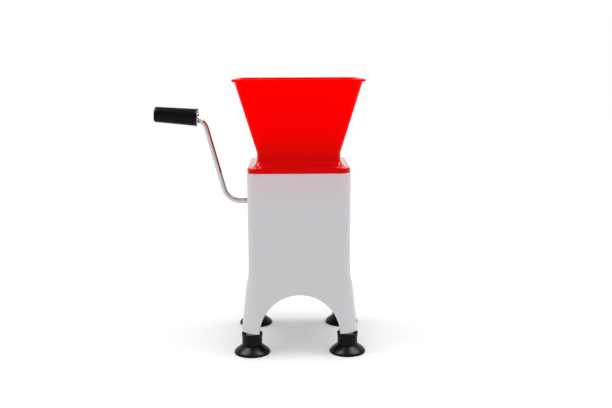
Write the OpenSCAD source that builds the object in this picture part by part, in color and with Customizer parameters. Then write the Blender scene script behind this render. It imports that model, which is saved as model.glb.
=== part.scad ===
// Hand crank food grinder: a square hopper over a four-legged housing on suction feet,
// with a crank-driven rotor of toothed blades that turn between two fixed combs.
// The origin is on the table, midway between the four feet. X runs from the crank side
// (negative) to the closed side, Y runs from front (negative) to rear, and Z is up.

/* [Body] */
// Outside width and depth of the housing across its straight upper part
body_w = 120; // [108:0.5:140]
// Radius of the housing's upright corners
body_corner_r = 12; // [10.5:0.5:15]
// Thickness of the housing wall
body_wall = 2.5; // [1.8:0.1:3]
// Height of the housing from the leg ends to its top edge
body_h = 187.7; // [170:0.1:220]
// Height of the flared skirt above the leg ends
flare_h = 75.5; // [50:0.5:90]
// How far each leg end stands out past the straight upper wall
flare_out = 8.7; // [4:0.1:14]
// Width of each leg at its end
leg_w = 21.6; // [20:0.1:30]
// How far the arch's centre lies below the leg ends
arch_drop = 1.4; // [0:0.1:10]
// Thickness of the plate that closes each leg end
leg_plate_t = 3; // [2:0.1:6]
// Width of the corner posts that carry the chamber, seen from above
post_w = 11; // [9.5:0.1:12]
// Height of the corner posts
post_h = 20; // [12:0.5:40]

/* [Suction feet] */
// Distance from a leg's outer face in to the foot's axis
foot_inset = 12.4; // [11.5:0.1:14]
// Height of the foot from the table to the sleeve's rim
foot_h = 24.3; // [21:0.1:32]
// Gap between the sleeve's rim and the leg end
rim_gap = 1.2; // [0.5:0.1:3]
// Outer radius of the sleeve at its rim
sleeve_r = 12.4; // [11:0.1:13]
// Wall of the sleeve at its rim
sleeve_wall = 1.8; // [1.2:0.1:2.6]
// How far the sleeve draws in at its waist
waist_in = 0.6; // [0:0.1:2]
// Height of the socket's floor above the table
socket_floor = 8.3; // [7:0.1:10]
// Depth of the tight part of the socket
socket_grip = 8.5; // [5:0.1:11]
// Radius of the peg under each leg
peg_r = 7; // [5:0.1:8]
// Radius of the suction cup's lip
cup_r = 21.3; // [16:0.1:26]
// Height at which the cup meets the sleeve
cup_h = 9.8; // [9:0.1:11]
// Thickness of the cup's lip
lip_t = 2.2; // [1:0.1:3]
// Width of the flat ring that touches the table
lip_ring = 1.2; // [0.6:0.1:2]
// Depth of the hollow under the cup
cup_hollow = 5.2; // [4.2:0.1:6]

/* [Hopper] */
// Outside width of the hopper's rim
rim_w = 149.7; // [130:0.1:170]
// Thickness of the rim flange
rim_t = 3; // [2:0.1:5]
// How far the rim flange stands out from the funnel wall
rim_lip = 3.3; // [1.5:0.1:6]
// Height of the tapered funnel between the neck and the rim flange
funnel_h = 81.5; // [50:0.5:110]
// Thickness of the hopper's walls
hopper_wall = 2; // [1.4:0.1:2.6]
// How far the neck, the narrowest part, is set in from the housing's outer face
neck_in = 11.8; // [11.6:0.1:16]
// Radius of the neck's upright corners
neck_corner_r = 6; // [4:0.5:9]
// Height from the shoulder to the foot of the taper
neck_h = 16; // [12:0.5:30]
// Radius of the hollow fillet between neck and shoulder
neck_fillet = 10.5; // [6:0.1:11]
// Height of the collar that shows above the housing
collar_h = 6.1; // [4:0.1:12]
// How far the collar is set in from the housing's outer face
collar_step = 0.5; // [0:0.1:1]
// Length of the skirt that plugs into the housing
skirt_l = 25; // [10:0.5:27]
// Gap between the skirt and the housing wall
skirt_gap = 0.25; // [0.2:0.05:0.6]
// Gap between the collar and the housing's top edge
seat_gap = 0.2; // [0.1:0.05:0.4]

/* [Crank] */
// Depth of the shaft's axis below the housing's top edge
shaft_drop = 40; // [38:0.5:60]
// Diameter of the rod
rod_d = 6.4; // [5:0.1:7]
// Bend radius of the rod's centreline
bend_r = 20; // [14:0.5:24]
// Distance from the housing wall to the corner of the lower bend
arm_reach = 26.4; // [24:0.1:50]
// Angle between the arm and the upright
arm_lean = 15; // [5:0.5:20]
// Height of the upper bend's corner above the shaft's axis
arm_rise = 100.3; // [80:0.1:130]
// Upward tilt of the grip towards its free end
grip_tilt = 4.6; // [0:0.1:8]
// Radial running clearance of everything that turns on or in something
run_gap = 0.08; // [0.02:0.01:0.1]
// Radial clearance of what is pushed or slid to its seat
fit_gap = 0.05; // [0.02:0.01:0.1]
// End play of the rotor and of the grip
end_play = 0.3; // [0.2:0.05:0.5]

/* [Grip] */
// Length of the grip
grip_l = 51.3; // [48:0.1:90]
// Distance from the upper bend's corner to the grip's inner end
grip_start = 7.2; // [6.5:0.1:9]
// Diameter of the grip at its inner end
grip_d_in = 20.8; // [19:0.1:26]
// Diameter of the grip at its free end
grip_d_out = 18.4; // [18:0.1:24]
// How far the lip at the inner end stands out
grip_lip = 0.7; // [0.3:0.1:2]
// Width of that lip
grip_lip_w = 1.5; // [1:0.1:4]
// Radius of the rounded free end
grip_round = 2; // [1:0.1:2.4]
// Outer radius of the ferrule
ferrule_r = 7.1; // [7:0.1:7.6]
// Wall of the ferrule
ferrule_wall = 0.8; // [0.5:0.1:0.9]
// How far the ferrule stands out of the grip
ferrule_out = 1.3; // [1:0.1:2.6]
// Length of the ferrule inside the grip
ferrule_in = 5.5; // [3:0.1:6.5]
// Outer radius of the stop ring on the spindle
stop_r = 5.6; // [4.5:0.1:6]
// Thickness of the stop ring
stop_t = 2; // [1:0.1:3]
// Depth of the counterbore at the grip's free end
cap_bore_depth = 8.6; // [7.5:0.1:10]
// Radius of that counterbore
cap_bore_r = 6.6; // [6.2:0.1:6.8]
// Length of the end cap's plug
cap_plug_l = 2.8; // [2:0.1:3.4]
// How far the end cap bulges from the grip's end
cap_bulge = 0.5; // [0.3:0.1:1]
// Outer radius of the push nut
push_nut_r = 5.6; // [4.8:0.1:5.8]
// Thickness of the push nut
push_nut_t = 1; // [0.6:0.1:1.4]
// How far the spindle runs past the push nut
spindle_tail = 1.8; // [1:0.1:2.2]

/* [Bearings] */
// Outer radius of the bushes' barrels
bush_r = 5; // [4.4:0.1:6]
// Outer radius of the bushes' flanges
bush_flange_r = 8; // [7:0.1:9]
// Thickness of the left bush's flange, outside the housing
bush_flange_t = 1.5; // [1:0.1:2]
// Radius of the bosses around the bushes
boss_r = 9; // [8:0.1:9.6]
// Length of the bosses beyond their walls
boss_l = 2.5; // [1.5:0.1:3]
// Thickness of the right bush's flange and of the thrust washer on the left
thrust_t = 1.2; // [0.8:0.1:2]
// Outer radius of the shaft clip
clip_r = 6; // [5.2:0.1:7]
// Thickness of the shaft clip
clip_t = 0.8; // [0.6:0.1:1.2]
// Depth of the clip's groove in the shaft
groove_depth = 0.7; // [0.5:0.1:1]
// Length of the shaft beyond the clip
shaft_tail = 1.5; // [1:0.1:2]

/* [Chamber] */
// Thickness of the chamber's walls
chamber_wall = 2.5; // [2:0.1:2.8]
// How far the chamber's mouth is wider than the hopper's chute, each side
mouth_margin = 0.8; // [0.3:0.1:0.9]
// Gap between the hopper's chute and the chamber's rim
chute_gap = 1; // [0.5:0.1:2]
// Clearance between the blade tips and the chamber's front and rear walls
tip_room = 2.8; // [1.5:0.1:4]
// Height of the upright part of the guide walls above the combs
guide_h = 3.6; // [2:0.1:8]
// Thickness of the shelves that carry the combs
shelf_t = 3; // [2:0.1:5]
// Gap between the shelves' edges and the housing wall
shelf_gap = 0.3; // [0.2:0.05:0.5]
// Length of the outlet below the shelves
outlet_l = 37; // [32:0.5:60]

/* [Rotor] */
// Number of blades
blade_n = 7; // [5:1:7]
// Thickness of a blade
blade_t = 2; // [1.5:0.1:2.5]
// Radius at the blade tips
blade_r = 29; // [24:0.1:29.2]
// Radius of the blade's round middle
blade_core_r = 14; // [12:0.1:16]
// Number of teeth on a blade
tooth_n = 4; // [3:1:5]
// Width of a tooth at its root
tooth_root_w = 13; // [9:0.1:14]
// Width of a tooth at its tip
tooth_tip_w = 4; // [2.5:0.1:6]
// How far a tooth's tip leans ahead of its root
tooth_hook = 3; // [0:0.1:4]
// Size of the hexagonal hub across its flats
hub_af = 14; // [12:0.1:15]
// Outer radius of the spacers
spacer_r = 10.5; // [10:0.1:11.5]
// Length of the end spacers
end_spacer_l = 5.5; // [4.5:0.1:7]
// Radius of the drive pins
pin_r = 1.5; // [1:0.1:1.6]
// How far the drive pins' ends lie below the spacers' surface
pin_sink = 0.5; // [0.2:0.1:1]

/* [Combs] */
// Thickness of the comb plates
comb_t = 2; // [1.5:0.1:2.5]
// Clearance between a blade and the comb on each side
slot_gap = 1.2; // [0.8:0.1:2]
// Clearance between the comb's fingers and the spacers
finger_gap = 0.8; // [0.5:0.1:1.5]
// Clearance between the blade tips and the ends of the comb's slots
slot_end_gap = 1.5; // [0.8:0.1:2.5]
// Clearance between the comb and the chamber's side walls and slots
comb_play = 0.3; // [0.1:0.05:0.4]
// How far the comb's root runs out past the chamber wall
comb_root = 16; // [12:0.5:18]
// Spacing of the comb's screws
comb_screw_pitch = 30; // [20:0.5:36]

/* [Screws] */
// Radius of the screws' shanks
screw_r = 1.4; // [1:0.1:1.5]
// Radius of the screws' heads
screw_head_r = 2.9; // [2.4:0.1:3]
// Height of the screws' heads
screw_head_h = 1.9; // [1.2:0.1:2.6]
// Length of the comb screws' shanks
comb_screw_l = 8; // [6:0.5:12]
// Length of the chamber screws' shanks
chamber_screw_l = 12; // [8:0.5:14]
// Radius of the bosses under the comb screws
screw_boss_r = 3.6; // [2.8:0.1:4.2]
// How far those bosses run past the screws' ends
screw_boss_past = 1; // [0.5:0.1:2]
// Width of a screw's cross recess
recess_w = 1; // [0.6:0.1:1.4]
// Depth of a screw's cross recess
recess_depth = 0.9; // [0.5:0.1:1.1]

/* [Hidden] */
$fn = 96;
OVER = 1; // how far a cutting body runs past what it cuts
FLARE_RINGS = 12; // strips that make up the flared skirt's curve
FLARE_STEP = 0.07; // share of the spread that the flare's straight part starts with
FLARE_EASE = 0.3; // share of the flare's height over which it eases in
CUP_RINGS = 10; // strips that make up each curve of a suction cup
CUP_CURVE = 1.3; // how strongly the cup's top line hollows near the sleeve; 1 is straight
SLEEVE_ARC = 135; // degrees of a sine wave that the sleeve's outer line follows
FILLET_BITE = 0.05; // how far the neck's fillet is sunk, so that it ends in true edges
TAPER_STEP = 0.1; // width of the ledge where the taper starts, inside and outside
HEX = 6;
BEND_SWELL = 0.02; // how much thicker the rod is where it is bent
JOIN = 0.4; // how far a straight length of the rod runs into a bend

FEET = [
    ["foot_front_left", -1, -1],
    ["foot_front_right", 1, -1],
    ["foot_rear_left", -1, 1],
    ["foot_rear_right", 1, 1]
];

// Housing
leg_z = foot_h + rim_gap;
body_top = leg_z + body_h;
half_w = body_w / 2;
corner_at = half_w - body_corner_r;
inner_half = half_w - body_wall;
inner_corner_r = body_corner_r - body_wall;
arch_z = leg_z - arch_drop;
arch_half = half_w + flare_out - leg_w;
arch_r = sqrt(arch_half * arch_half + arch_drop * arch_drop);
arch_l = 2 * (half_w + flare_out + OVER);
foot_at = half_w + flare_out - foot_inset;

// Shaft and rod
rod_r = rod_d / 2;
shaft_z = body_top - shaft_drop;

// Hopper, from the collar up and down
shoulder_z = body_top + seat_gap + collar_h;
taper_z = shoulder_z + neck_h;
rim_z = taper_z + funnel_h;
collar_half = half_w - collar_step;
skirt_half = inner_half - skirt_gap;
skirt_inner = skirt_half - hopper_wall;
neck_half = half_w - neck_in;
chute_half = neck_half - hopper_wall;
chute_corner_r = neck_corner_r - hopper_wall;
funnel_half = rim_w / 2 - rim_lip;
funnel_corner_r = neck_corner_r * funnel_half / neck_half;

// Rotor and chamber
chamber_half = chute_half + mouth_margin;
chamber_outer = chamber_half + chamber_wall;
outlet_half = blade_r + tip_room;
outlet_outer = outlet_half + chamber_wall;
comb_z = shaft_z - comb_t / 2;
comb_top = comb_z + comb_t;
shelf_z = comb_z - shelf_t;
outlet_z = shelf_z - outlet_l;
guide_z = comb_top + guide_h;
chute_z = shaft_z + blade_r + tip_room;
chamber_top = chute_z - chute_gap;
hub_half = chamber_half - thrust_t - end_play;
hub_hole_r = rod_r + fit_gap;
hub_corner_r = hub_af / 2 / cos(180 / HEX);
blade_first = -hub_half + end_spacer_l + blade_t / 2;
blade_pitch = -2 * blade_first / (blade_n - 1);
spacer_l = blade_pitch - blade_t;
spacer_bore_r = hub_corner_r + fit_gap;
clip_x = chamber_outer + boss_l + end_play;
shaft_end = clip_x + clip_t + shaft_tail;
pin_x = hub_half - end_spacer_l / 2;
comb_tip = spacer_r + finger_gap;
comb_out = outlet_outer + comb_root;
slot_end = blade_r + slot_end_gap;
comb_screw_y = (outlet_outer + comb_out) / 2;
post_at = inner_half - post_w;
chamber_screw_at = (chamber_outer + corner_at + inner_corner_r * cos(45)) / 2;

// Crank rod, in the XZ plane
arm_x = half_w + arm_reach;
bend_turn = 90 - arm_lean;
grip_turn = 90 - arm_lean - grip_tilt;
bend_tangent = bend_r * tan(bend_turn / 2);
grip_tangent = bend_r * tan(grip_turn / 2);
arm_l = arm_rise / cos(arm_lean);
elbow_x = arm_x + arm_rise * tan(arm_lean);
elbow_z = shaft_z + arm_rise;

// Along the grip's axis, measured from the upper bend's corner
grip_end = grip_start + grip_l;
stop_s = grip_tangent;
recess_floor = stop_s + stop_t + end_play;
cap_floor = grip_end - cap_bore_depth;
nut_s = cap_floor + end_play;
spindle_end = nut_s + push_nut_t + spindle_tail;
grip_bore_r = rod_r + run_gap;

// Half width of the flared skirt past the straight wall, t = 0 at its top and 1 at the leg ends
function ease(t) = t * t * (3 - 2 * t);
function flare_share(t) = (FLARE_STEP + (1 - FLARE_STEP) * t) * ease(min(1, t / FLARE_EASE));
function spread(z) = flare_out * flare_share(max(0, min(1, (leg_z + flare_h - z) / flare_h)));
// Heights of the flare's rings between two heights, those included
function ring_heights(z_low, z_high) = concat(
    [z_low],
    [for (i = [0:FLARE_RINGS])
        let (z = leg_z + flare_h * i / FLARE_RINGS)
        if (z > z_low && z < z_high) z],
    [z_high]
);

// ---------- shared shapes ----------

module rounded_square(half, r) {
    square([2 * half, 2 * (half - r)], center = true);
    square([2 * (half - r), 2 * half], center = true);
    for (x = [-1, 1], y = [-1, 1])
        translate([x * (half - r), y * (half - r)])
            circle(r);
}

// Solid with the housing's outside shape, drawn in by inset
module flared_block(inset, z_low, z_high) {
    heights = ring_heights(z_low, z_high);
    far = body_corner_r - inset;
    profile = concat(
        [[0, z_low]],
        [for (z = heights) [far + spread(z), z]],
        [[0, z_high]]
    );
    translate([-corner_at, -corner_at, z_low])
        cube([2 * corner_at, 2 * corner_at, z_high - z_low]);
    for (side = [0:3])
        rotate([0, 0, 90 * side])
            translate([corner_at, corner_at, 0]) {
                rotate_extrude(angle = 90)
                    polygon(profile);
                rotate([90, 0, 0])
                    linear_extrude(2 * corner_at)
                        polygon(profile);
            }
}

// Bar of the fillet between neck and shoulder, as seen along the neck's side
module fillet_section(r) {
    difference() {
        square(r);
        translate([r - FILLET_BITE, r - FILLET_BITE])
            circle(r);
    }
}

// Places children on the shaft's axis with their own Z along +X
module on_shaft(x) {
    translate([x, 0, shaft_z])
        rotate([0, 90, 0])
            children();
}

// Places children on the grip's axis with their own Z towards the free end
module on_spindle(s) {
    translate([-elbow_x, 0, elbow_z])
        rotate([0, grip_tilt - 90, 0])
            translate([0, 0, s])
                children();
}

module ring(r_out, r_in, h) {
    difference() {
        cylinder(r = r_out, h = h);
        translate([0, 0, -OVER])
            cylinder(r = r_in, h = h + 2 * OVER);
    }
}

// Pan-head screw with a cross recess; its head's seat is at z = 0
module screw(shank_l) {
    difference() {
        union() {
            cylinder(r = screw_head_r, h = screw_head_h);
            translate([0, 0, -shank_l])
                cylinder(r = screw_r, h = shank_l);
        }
        for (turn = [0, 90])
            rotate([0, 0, turn])
                translate([-screw_r, -recess_w / 2, screw_head_h - recess_depth])
                    cube([2 * screw_r, recess_w, recess_depth + OVER]);
    }
}

// ---------- housing ----------

module leg_ends() {
    for (foot = FEET)
        intersection() {
            flared_block(body_wall / 2, leg_z, leg_z + leg_plate_t);
            translate([
                foot[1] > 0 ? arch_half : -arch_half - body_w,
                foot[2] > 0 ? arch_half : -arch_half - body_w,
                leg_z - OVER
            ])
                cube([body_w, body_w, leg_plate_t + 2 * OVER]);
        }
}

module leg_pegs() {
    for (foot = FEET)
        translate([foot[1] * foot_at, foot[2] * foot_at, socket_floor])
            cylinder(r = peg_r, h = leg_z - socket_floor + leg_plate_t / 2);
}

module corner_posts() {
    translate([0, 0, shelf_z - post_h])
        linear_extrude(post_h)
            intersection() {
                rounded_square(inner_half + body_wall / 2, inner_corner_r + body_wall / 2);
                for (x = [-1, 1], y = [-1, 1])
                    translate([x * half_w, y * half_w])
                        square(2 * (half_w - post_at), center = true);
            }
}

module chamber_screw_places(z) {
    for (x = [-1, 1], y = [-1, 1])
        translate([x * chamber_screw_at, y * chamber_screw_at, z])
            children();
}

module housing() {
    color("whitesmoke")
        difference() {
            union() {
                difference() {
                    flared_block(0, leg_z, body_top);
                    flared_block(body_wall, leg_z - OVER, body_top + OVER);
                }
                leg_ends();
                leg_pegs();
                corner_posts();
                on_shaft(-half_w + body_wall / 2)
                    cylinder(r = boss_r, h = body_wall / 2 + boss_l);
            }
            for (turn = [0, 90])
                rotate([0, 0, turn])
                    translate([0, 0, arch_z])
                        rotate([90, 0, 0])
                            cylinder(r = arch_r, h = arch_l, center = true);
            on_shaft(-half_w - OVER)
                cylinder(r = bush_r + fit_gap, h = body_wall + boss_l + 2 * OVER);
            chamber_screw_places(shelf_z - post_h - OVER)
                cylinder(r = screw_r + fit_gap, h = post_h + 2 * OVER);
        }
}

// ---------- suction feet ----------

module suction_foot() {
    lip_touch_r = cup_r - lip_t / 2;
    hollow_r = lip_touch_r - lip_ring;
    // The sleeve's outer line: a shallow arc from the cup to the rim
    sleeve_line = [for (i = [0:CUP_RINGS])
        let (t = i / CUP_RINGS)
        [sleeve_r - waist_in * sin(SLEEVE_ARC * (1 - t)), cup_h + (foot_h - cup_h) * t]];
    // The cup's top line: hollow near the sleeve, straight towards the lip
    cup_line = [for (i = [1:CUP_RINGS])
        let (t = i / CUP_RINGS, foot_r = sleeve_line[0][0])
        [foot_r + (cup_r - foot_r) * (1 - pow(1 - t, CUP_CURVE)), cup_h + (lip_t - cup_h) * t]];
    hollow_line = [for (i = [0:CUP_RINGS])
        let (t = i / CUP_RINGS)
        [hollow_r * (1 - t), cup_hollow * sin(90 * t)]];
    color("dimgray")
        difference() {
            rotate_extrude()
                polygon(concat(
                    hollow_line,
                    [[0, foot_h]],
                    [for (i = [CUP_RINGS:-1:0]) sleeve_line[i]],
                    cup_line,
                    [[lip_touch_r, 0]]
                ));
            translate([0, 0, socket_floor])
                cylinder(r = peg_r + fit_gap, h = foot_h);
            translate([0, 0, socket_floor + socket_grip])
                cylinder(r = sleeve_r - sleeve_wall, h = foot_h);
        }
}

module foot_at_place(foot) {
    translate([foot[1] * foot_at, foot[2] * foot_at, 0])
        suction_foot();
}

// ---------- hopper ----------

// Tapered block from the foot of the taper up to height h above it
module funnel_block(foot_half, foot_corner_r, top_half, h) {
    slope = (top_half - foot_half) / funnel_h;
    translate([0, 0, taper_z])
        linear_extrude(h, scale = 1 + slope * h / foot_half)
            rounded_square(foot_half, foot_corner_r);
}

module neck_fillet_block() {
    corner = neck_half - neck_corner_r;
    r = neck_fillet;
    for (side = [0:3])
        rotate([0, 0, 90 * side]) {
            translate([neck_half, corner, 0])
                rotate([90, 0, 0])
                    linear_extrude(2 * corner)
                        fillet_section(r);
            translate([corner, corner, 0])
                rotate_extrude(angle = 90)
                    translate([neck_corner_r, 0])
                        fillet_section(r);
        }
}

module hopper() {
    color("red") {
        difference() {
            union() {
                funnel_block(
                    neck_half - TAPER_STEP,
                    neck_corner_r - TAPER_STEP,
                    funnel_half,
                    funnel_h
                );
                translate([0, 0, rim_z])
                    linear_extrude(rim_t)
                        rounded_square(funnel_half + rim_lip, funnel_corner_r + rim_lip);
                translate([0, 0, chute_z])
                    linear_extrude(taper_z - chute_z)
                        rounded_square(neck_half, neck_corner_r);
                translate([0, 0, shoulder_z])
                    neck_fillet_block();
                translate([0, 0, shoulder_z - hopper_wall])
                    linear_extrude(hopper_wall)
                        rounded_square(collar_half, body_corner_r - collar_step);
            }
            funnel_block(
                chute_half + TAPER_STEP,
                chute_corner_r + TAPER_STEP,
                funnel_half - hopper_wall,
                funnel_h + rim_t + OVER
            );
            translate([0, 0, chute_z - OVER])
                linear_extrude(taper_z - chute_z + OVER)
                    rounded_square(chute_half, chute_corner_r);
        }
        difference() {
            union() {
                translate([0, 0, body_top + seat_gap])
                    linear_extrude(collar_h - hopper_wall)
                        rounded_square(collar_half, body_corner_r - collar_step);
                translate([0, 0, body_top - skirt_l])
                    linear_extrude(skirt_l + seat_gap)
                        rounded_square(skirt_half, inner_corner_r - skirt_gap);
            }
            translate([0, 0, body_top - skirt_l - OVER])
                linear_extrude(skirt_l + seat_gap + collar_h)
                    rounded_square(skirt_inner, inner_corner_r - skirt_gap - hopper_wall);
        }
    }
}

// ---------- chamber ----------

// Side of one guide wall, shelf and outlet wall, in the YZ plane
module guide_section() {
    polygon([
        [outlet_half, comb_top + comb_play],
        [outlet_half, guide_z],
        [chamber_half, chamber_top],
        [chamber_outer, chamber_top],
        [chamber_outer, chamber_top - chamber_wall],
        [outlet_outer, guide_z],
        [outlet_outer, comb_top + comb_play]
    ]);
    translate([outlet_half, outlet_z])
        square([chamber_wall, comb_z - outlet_z]);
}

module chamber_side(x) {
    translate([x, 0, 0])
        rotate([90, 0, 90])
            linear_extrude(chamber_wall) {
                translate([-chamber_outer, comb_z])
                    square([2 * chamber_outer, chamber_top - comb_z]);
                translate([-outlet_outer, outlet_z])
                    square([2 * outlet_outer, comb_z - outlet_z]);
            }
}

module shelves() {
    translate([0, 0, shelf_z])
        linear_extrude(shelf_t)
            difference() {
                rounded_square(inner_half - shelf_gap, inner_corner_r - shelf_gap);
                square([body_w, 2 * outlet_half], center = true);
            }
}

module comb_screw_places(side, z) {
    for (x = [-1, 0, 1])
        translate([x * comb_screw_pitch, side * comb_screw_y, z])
            children();
}

module chamber() {
    boss_h = comb_screw_l - comb_t - shelf_t + screw_boss_past;
    color("firebrick")
        difference() {
            union() {
                for (side = [-1, 1])
                    scale([1, side, 1])
                        rotate([90, 0, 90])
                            linear_extrude(2 * chamber_half + chamber_wall, center = true)
                                guide_section();
                chamber_side(-chamber_outer);
                chamber_side(chamber_half);
                shelves();
                for (side = [-1, 1])
                    comb_screw_places(side, shelf_z - boss_h)
                        cylinder(r = screw_boss_r, h = boss_h + shelf_t / 2);
                on_shaft(chamber_outer - chamber_wall / 2)
                    cylinder(r = boss_r, h = boss_l + chamber_wall / 2);
            }
            on_shaft(-chamber_outer - OVER)
                cylinder(r = bush_r + fit_gap, h = chamber_wall + 2 * OVER);
            on_shaft(chamber_half - OVER)
                cylinder(r = bush_r + fit_gap, h = chamber_wall + boss_l + 2 * OVER);
            for (side = [-1, 1])
                comb_screw_places(side, shelf_z - boss_h - OVER)
                    cylinder(r = screw_r + fit_gap, h = boss_h + shelf_t + 2 * OVER);
            chamber_screw_places(shelf_z - OVER)
                cylinder(r = screw_r + fit_gap, h = shelf_t + 2 * OVER);
        }
}

module chamber_screws() {
    color("silver")
        chamber_screw_places(comb_z)
            screw(chamber_screw_l);
}

// ---------- combs ----------

module comb(side) {
    color("gainsboro")
        translate([0, 0, comb_z])
            linear_extrude(comb_t)
                difference() {
                    translate([comb_play - chamber_half, side > 0 ? comb_tip : -comb_out])
                        square([2 * (chamber_half - comb_play), comb_out - comb_tip]);
                    for (i = [0:blade_n - 1])
                        translate([
                            blade_first + i * blade_pitch - blade_t / 2 - slot_gap,
                            side > 0 ? 0 : -slot_end
                        ])
                            square([blade_t + 2 * slot_gap, slot_end]);
                    for (x = [-1, 0, 1])
                        translate([x * comb_screw_pitch, side * comb_screw_y])
                            circle(screw_r + fit_gap);
                }
}

module comb_screws() {
    color("silver")
        for (side = [-1, 1])
            comb_screw_places(side, comb_top)
                screw(comb_screw_l);
}

// ---------- bearings ----------

module bush_left() {
    barrel_l = half_w - chamber_half;
    color("ivory")
        on_shaft(-half_w - bush_flange_t)
            difference() {
                union() {
                    cylinder(r = bush_flange_r, h = bush_flange_t);
                    cylinder(r = bush_r, h = bush_flange_t + barrel_l);
                }
                translate([0, 0, -OVER])
                    cylinder(r = rod_r + run_gap, h = bush_flange_t + barrel_l + 2 * OVER);
            }
}

module bush_right() {
    barrel_l = chamber_wall + boss_l;
    color("ivory")
        on_shaft(chamber_half - thrust_t)
            difference() {
                union() {
                    cylinder(r = bush_flange_r, h = thrust_t);
                    cylinder(r = bush_r, h = thrust_t + barrel_l);
                }
                translate([0, 0, -OVER])
                    cylinder(r = rod_r + run_gap, h = thrust_t + barrel_l + 2 * OVER);
            }
}

module thrust_washer() {
    color("ivory")
        on_shaft(-hub_half - thrust_t)
            ring(bush_flange_r, rod_r + fit_gap, thrust_t);
}

module shaft_clip() {
    seat_r = rod_r - groove_depth;
    color("silver")
        on_shaft(clip_x)
            difference() {
                cylinder(r = clip_r, h = clip_t);
                translate([0, 0, -OVER]) {
                    cylinder(r = seat_r + fit_gap, h = clip_t + 2 * OVER);
                    translate([0, -seat_r, 0])
                        cube([2 * clip_r, 2 * seat_r, clip_t + 2 * OVER]);
                }
            }
}

// ---------- crank ----------

module rod_bend(angle) {
    rotate_extrude(angle = angle)
        translate([bend_r, 0])
            circle(rod_r + BEND_SWELL);
}

module crank_rod() {
    bend_x = arm_x - bend_tangent;
    color("lightgray")
        difference() {
            union() {
                on_shaft(-bend_x - JOIN)
                    cylinder(r = rod_r, h = JOIN + bend_x + shaft_end);
                translate([-bend_x, 0, shaft_z + bend_r])
                    rotate([90, 0, 0])
                        rotate([0, 0, -90 - bend_turn])
                            rod_bend(bend_turn);
                translate([-arm_x, 0, shaft_z])
                    rotate([0, -arm_lean, 0]) {
                        translate([0, 0, bend_tangent - JOIN])
                            cylinder(r = rod_r, h = arm_l - bend_tangent - grip_tangent + 2 * JOIN);
                        translate([-bend_r, 0, arm_l - grip_tangent])
                            rotate([90, 0, 0])
                                rod_bend(grip_turn);
                    }
                on_spindle(grip_tangent - JOIN)
                    cylinder(r = rod_r, h = JOIN + spindle_end - grip_tangent);
            }
            on_shaft(clip_x)
                ring(rod_r + OVER, rod_r - groove_depth, clip_t + fit_gap);
            pin_holes();
        }
}

module grip_stop_ring() {
    color("silver")
        on_spindle(stop_s)
            ring(stop_r, rod_r + fit_gap, stop_t);
}

module grip_push_nut() {
    color("silver")
        on_spindle(nut_s)
            ring(push_nut_r, rod_r + fit_gap, push_nut_t);
}

// ---------- grip ----------

module grip() {
    r_in = grip_d_in / 2;
    r_out = grip_d_out / 2;
    body_l = grip_l - grip_round;
    color("black")
        on_spindle(grip_start)
            difference() {
                union() {
                    cylinder(r1 = r_in, r2 = r_out, h = body_l);
                    cylinder(r1 = r_in + grip_lip, r2 = r_in, h = grip_lip_w);
                    translate([0, 0, body_l])
                        rotate_extrude() {
                            square([r_out - grip_round, grip_round]);
                            translate([r_out - grip_round, 0])
                                intersection() {
                                    circle(grip_round);
                                    square(grip_round);
                                }
                        }
                }
                translate([0, 0, -OVER]) {
                    cylinder(r = grip_bore_r, h = grip_l + 2 * OVER);
                    cylinder(r = ferrule_r + fit_gap, h = recess_floor - grip_start + OVER);
                }
                translate([0, 0, grip_l - cap_bore_depth])
                    cylinder(r = cap_bore_r, h = cap_bore_depth + OVER);
            }
}

module grip_ferrule() {
    color("silver")
        on_spindle(grip_start - ferrule_out)
            ring(ferrule_r, ferrule_r - ferrule_wall, ferrule_out + ferrule_in);
}

module grip_end_cap() {
    plug_r = cap_bore_r - fit_gap;
    dome_r = (plug_r * plug_r + cap_bulge * cap_bulge) / (2 * cap_bulge);
    color("black")
        on_spindle(grip_end) {
            translate([0, 0, -cap_plug_l])
                cylinder(r = plug_r, h = cap_plug_l);
            intersection() {
                translate([0, 0, cap_bulge - dome_r])
                    sphere(dome_r);
                cylinder(r = plug_r, h = cap_bulge + OVER);
            }
        }
}

// ---------- rotor ----------

module rotor_hub() {
    color("silver")
        difference() {
            on_shaft(-hub_half)
                difference() {
                    cylinder(r = hub_corner_r, h = 2 * hub_half, $fn = HEX);
                    translate([0, 0, -OVER])
                        cylinder(r = hub_hole_r, h = 2 * hub_half + 2 * OVER);
                }
            pin_holes();
        }
}

module pin_holes() {
    for (side = [-1, 1])
        translate([side * pin_x, 0, shaft_z])
            rotate([90, 0, 0])
                cylinder(r = pin_r + fit_gap, h = 2 * (spacer_r + OVER), center = true);
}

module drive_pins() {
    color("silver")
        for (side = [-1, 1])
            translate([side * pin_x, 0, shaft_z])
                rotate([90, 0, 0])
                    cylinder(r = pin_r, h = 2 * (spacer_r - pin_sink), center = true);
}

module blade_tooth() {
    root = tooth_root_w / 2;
    tip = tooth_tip_w / 2;
    polygon([
        [blade_core_r / 2, -root],
        [blade_core_r / 2, root],
        [blade_r + OVER, tooth_hook + tip],
        [blade_r + OVER, tooth_hook - tip]
    ]);
}

// Each blade is turned by one flat of the hub from its neighbour
module blade(i) {
    hole_r = hub_corner_r + fit_gap;
    color("gainsboro")
        on_shaft(blade_first + (i - 1) * blade_pitch - blade_t / 2)
            linear_extrude(blade_t)
                difference() {
                    intersection() {
                        circle(blade_r);
                        union() {
                            circle(blade_core_r);
                            for (tooth = [0:tooth_n - 1])
                                rotate(i * 360 / HEX + tooth * 360 / tooth_n)
                                    blade_tooth();
                        }
                    }
                    circle(hole_r, $fn = HEX);
                }
}

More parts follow.
